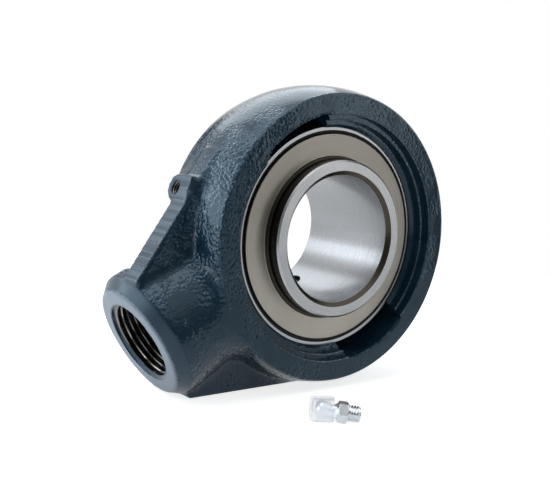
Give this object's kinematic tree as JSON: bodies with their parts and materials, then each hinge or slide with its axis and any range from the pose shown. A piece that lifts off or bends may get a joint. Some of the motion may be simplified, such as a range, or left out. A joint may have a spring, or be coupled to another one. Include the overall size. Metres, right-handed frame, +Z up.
{
  "type": "hanger bearing",
  "caption": "Cast hanger housing with a threaded hub that holds a self-aligning insert ball bearing on a shaft, with a loose capped grease nipple.",
  "frame": {"origin": "centre of the balls on the axis of the shaft bore", "axes": "+Y along the bore towards the wide end of the inner ring, +Z up with the unit lying on its flank, +X to the right as seen from the narrow front end"},
  "size_m": [0.1435, 0.0918, 0.1191],
  "materials": {
    "housing_paint": "gloss blue-grey enamel on sand-cast iron",
    "bearing_steel": "ground and honed bearing steel",
    "ball_steel": "polished",
    "cage_steel": "plain pressed strip",
    "seal_rubber": "black nitrile rubber",
    "slinger_steel": "dull passivated sheet",
    "screw_steel": "black oxide",
    "nipple_zinc": "bright zinc plate",
    "cap_plastic": "frosted clear polyethylene"
  },
  "bodies": {
    "housing": {"housing": "housing_paint"},
    "insert": {"outer_ring": "bearing_steel", "front_seal": "seal_rubber", "back_seal": "seal_rubber"},
    "inner": {"inner_ring": "bearing_steel", "front_slinger": "slinger_steel", "back_slinger": "slinger_steel"},
    "cage": {"cage_front": "cage_steel", "cage_back": "cage_steel", "cage_rivets": "cage_steel"},
    "ball_01": {"ball_01": "ball_steel"},
    "ball_02": {"ball_02": "ball_steel"},
    "ball_03": {"ball_03": "ball_steel"},
    "ball_04": {"ball_04": "ball_steel"},
    "ball_05": {"ball_05": "ball_steel"},
    "ball_06": {"ball_06": "ball_steel"},
    "ball_07": {"ball_07": "ball_steel"},
    "ball_08": {"ball_08": "ball_steel"},
    "ball_09": {"ball_09": "ball_steel"},
    "ball_10": {"ball_10": "ball_steel"},
    "set_screw_1": {"set_screw_1": "screw_steel"},
    "set_screw_2": {"set_screw_2": "screw_steel"},
    "nipple": {"nipple_body": "nipple_zinc", "nipple_spring": "cage_steel"},
    "nipple_cap": {"nipple_cap": "cap_plastic"},
    "nipple_check_ball": {"nipple_check_ball": "ball_steel"}
  },
  "joints": [
    {"name": "insert_align", "type": "hinge", "parent": "housing", "child": "insert", "pos_m": [0, 0, 0], "axis": [0, 0, 1], "range_deg": [-2, 2]},
    {"name": "shaft_spin", "type": "hinge", "parent": "insert", "child": "inner", "pos_m": [0, 0, 0], "axis": [0, 1, 0], "continuous": true},
    {"name": "cage_spin", "type": "hinge", "parent": "insert", "child": "cage", "pos_m": [0, 0, 0], "axis": [0, 1, 0], "continuous": true},
    {"name": "ball_01_spin", "type": "hinge", "parent": "cage", "child": "ball_01", "pos_m": [0.03504, 0, 0], "axis": [0, 1, 0], "continuous": true},
    {"name": "ball_02_spin", "type": "hinge", "parent": "cage", "child": "ball_02", "pos_m": [0.02835, 0, 0.0206], "axis": [0, 1, 0], "continuous": true},
    {"name": "ball_03_spin", "type": "hinge", "parent": "cage", "child": "ball_03", "pos_m": [0.01083, 0, 0.03333], "axis": [0, 1, 0], "continuous": true},
    {"name": "ball_04_spin", "type": "hinge", "parent": "cage", "child": "ball_04", "pos_m": [-0.01083, 0, 0.03333], "axis": [0, 1, 0], "continuous": true},
    {"name": "ball_05_spin", "type": "hinge", "parent": "cage", "child": "ball_05", "pos_m": [-0.02835, 0, 0.0206], "axis": [0, 1, 0], "continuous": true},
    {"name": "ball_06_spin", "type": "hinge", "parent": "cage", "child": "ball_06", "pos_m": [-0.03504, 0, 0], "axis": [0, 1, 0], "continuous": true},
    {"name": "ball_07_spin", "type": "hinge", "parent": "cage", "child": "ball_07", "pos_m": [-0.02835, 0, -0.0206], "axis": [0, 1, 0], "continuous": true},
    {"name": "ball_08_spin", "type": "hinge", "parent": "cage", "child": "ball_08", "pos_m": [-0.01083, 0, -0.03333], "axis": [0, 1, 0], "continuous": true},
    {"name": "ball_09_spin", "type": "hinge", "parent": "cage", "child": "ball_09", "pos_m": [0.01083, 0, -0.03333], "axis": [0, 1, 0], "continuous": true},
    {"name": "ball_10_spin", "type": "hinge", "parent": "cage", "child": "ball_10", "pos_m": [0.02835, 0, -0.0206], "axis": [0, 1, 0], "continuous": true},
    {"name": "set_screw_1_drive", "type": "slide", "parent": "inner", "child": "set_screw_1", "axis": [0.309, 0, -0.9511], "range_m": [-0.001, 0.003]},
    {"name": "set_screw_2_drive", "type": "slide", "parent": "inner", "child": "set_screw_2", "axis": [-0.6947, 0, -0.7193], "range_m": [-0.001, 0.003]},
    {"name": "nipple_lift", "type": "slide", "parent": "housing", "child": "nipple", "axis": [0, 0, 1], "range_m": [0, 0.025]},
    {"name": "cap_pull", "type": "slide", "parent": "nipple", "child": "nipple_cap", "axis": [-0.8192, 0.5736, 0], "range_m": [0, 0.012]},
    {"name": "check_ball_press", "type": "slide", "parent": "nipple", "child": "nipple_check_ball", "axis": [0.8142, -0.5701, -0.1093], "range_m": [0, 0.0005], "stiffness_N_per_m": 100, "springref_m": -0.003, "deforming": ["nipple_spring"]}
  ],
  "couplings": [
    {"joint": "cage_spin", "follows": "shaft_spin", "ratio": 0.40939},
    {"joint": "ball_01_spin", "follows": "shaft_spin", "ratio": -2.6684},
    {"joint": "ball_02_spin", "follows": "shaft_spin", "ratio": -2.6684},
    {"joint": "ball_03_spin", "follows": "shaft_spin", "ratio": -2.6684},
    {"joint": "ball_04_spin", "follows": "shaft_spin", "ratio": -2.6684},
    {"joint": "ball_05_spin", "follows": "shaft_spin", "ratio": -2.6684},
    {"joint": "ball_06_spin", "follows": "shaft_spin", "ratio": -2.6684},
    {"joint": "ball_07_spin", "follows": "shaft_spin", "ratio": -2.6684},
    {"joint": "ball_08_spin", "follows": "shaft_spin", "ratio": -2.6684},
    {"joint": "ball_09_spin", "follows": "shaft_spin", "ratio": -2.6684},
    {"joint": "ball_10_spin", "follows": "shaft_spin", "ratio": -2.6684}
  ]
}
